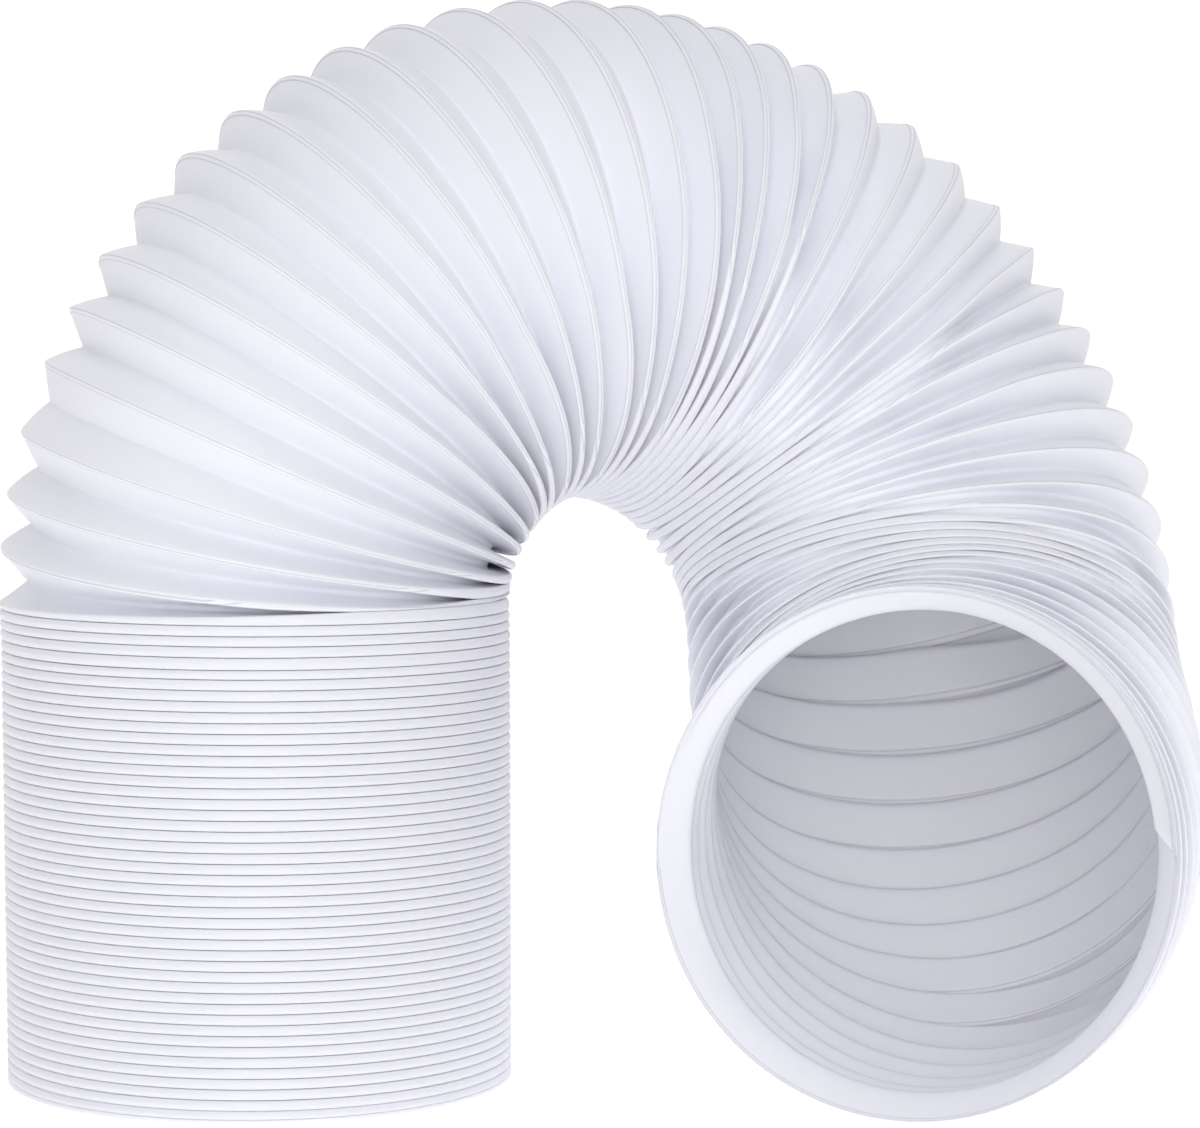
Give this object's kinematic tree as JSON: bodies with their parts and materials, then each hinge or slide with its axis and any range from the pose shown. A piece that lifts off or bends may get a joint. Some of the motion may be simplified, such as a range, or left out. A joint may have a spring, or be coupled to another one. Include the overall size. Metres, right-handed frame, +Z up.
{
  "type": "air conditioner exhaust hose",
  "caption": "Spiral-wound corrugated plastic exhaust hose, one end pushed together and standing upright, the rest pulled open into an arch whose open mouth faces forward.",
  "frame": {"origin": "centre of the footprint, on the floor that the hose stands on", "axes": "X runs from the standing end to the open mouth, Y points to the back, away from the side the mouth faces, Z is up"},
  "size_m": [0.3548, 0.234, 0.3206],
  "materials": {
    "white_polypropylene": "satin white, slightly cool, moulded strip"
  },
  "bodies": {
    "root": {"hose": "white_polypropylene"}
  },
  "joints": []
}
